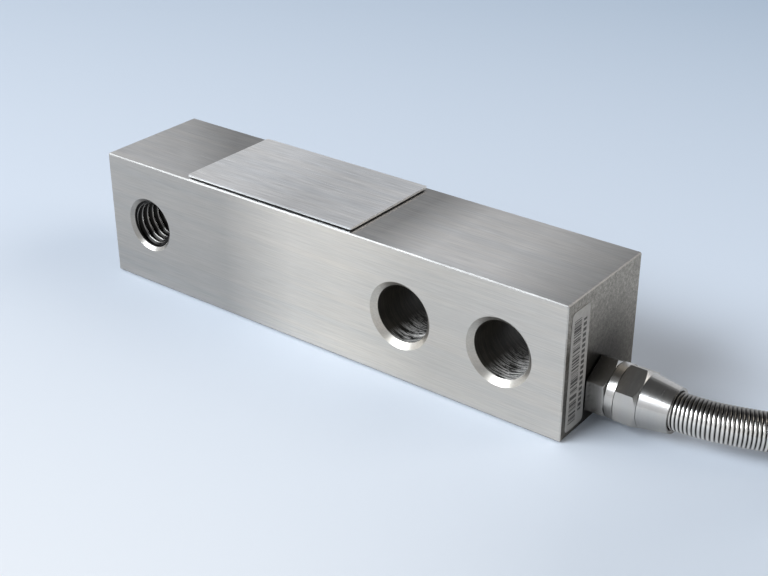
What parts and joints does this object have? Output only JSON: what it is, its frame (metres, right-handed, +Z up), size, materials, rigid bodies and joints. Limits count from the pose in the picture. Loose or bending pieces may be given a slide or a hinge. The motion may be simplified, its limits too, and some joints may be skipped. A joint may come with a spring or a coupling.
{
  "type": "shear beam load cell",
  "caption": "Stainless shear beam load cell with a threaded load hole, two mounting bores, a bonded cover plate and an armoured lead with bare ends.",
  "frame": {"origin": "middle of the beam's underside", "axes": "+X along the beam towards the cable gland, +Y from the holed front face into the depth, +Z up, out of the cover plate"},
  "size_m": [0.2834, 0.1082, 0.0516],
  "materials": {
    "beam_steel": "stainless, brushed along the length",
    "cover_steel": "stainless sheet, brushed along the length",
    "gland_steel": "turned stainless, satin",
    "armour_wire": "bright drawn stainless wire, close wound",
    "black_seal": "matte",
    "gel": "translucent silicone",
    "gauge_film": "amber polyimide with foil",
    "copper_lead": "enamelled copper",
    "board_laminate": "glass laminate with solder mask",
    "foam_pad": "adhesive foam",
    "resistor_body": "moulded",
    "core_insulation": "extruded insulation",
    "grey_jacket": "extruded jacket",
    "tie_nylon": "natural nylon",
    "red_core": "extruded insulation",
    "black_core": "extruded insulation",
    "green_core": "extruded insulation",
    "white_core": "extruded insulation",
    "shield_sleeve": "extruded sleeve",
    "tinned_wire": "tinned copper strands",
    "label_foil": "printed silver foil"
  },
  "bodies": {
    "root": {"beam": "beam_steel", "cover_plate": "cover_steel", "cover_seal": "black_seal", "lower_cover": "cover_steel", "lower_seal": "black_seal", "upper_gauge": "gauge_film", "lower_gauge": "gauge_film", "upper_gauge_leads": "copper_lead", "lower_gauge_leads": "copper_lead", "board_pad": "foam_pad", "balance_board": "board_laminate", "trim_resistors": "resistor_body", "core_wires": "core_insulation", "upper_potting": "gel", "lower_potting": "gel", "gland_washer": "black_seal", "gland_body": "gland_steel", "gland_seal": "black_seal", "slip_ring": "copper_lead", "gland_nut": "gland_steel", "armour_ferrule": "gland_steel", "inner_jacket": "grey_jacket", "armour_tube": "armour_wire", "armour_coil": "armour_wire", "coil_ties": "tie_nylon", "end_sleeve": "gland_steel", "jacket_tail": "grey_jacket", "lead_red": "red_core", "lead_black": "black_core", "lead_green": "green_core", "lead_white": "white_core", "lead_shield": "shield_sleeve", "lead_tips": "tinned_wire", "rating_label": "label_foil"}
  },
  "joints": []
}
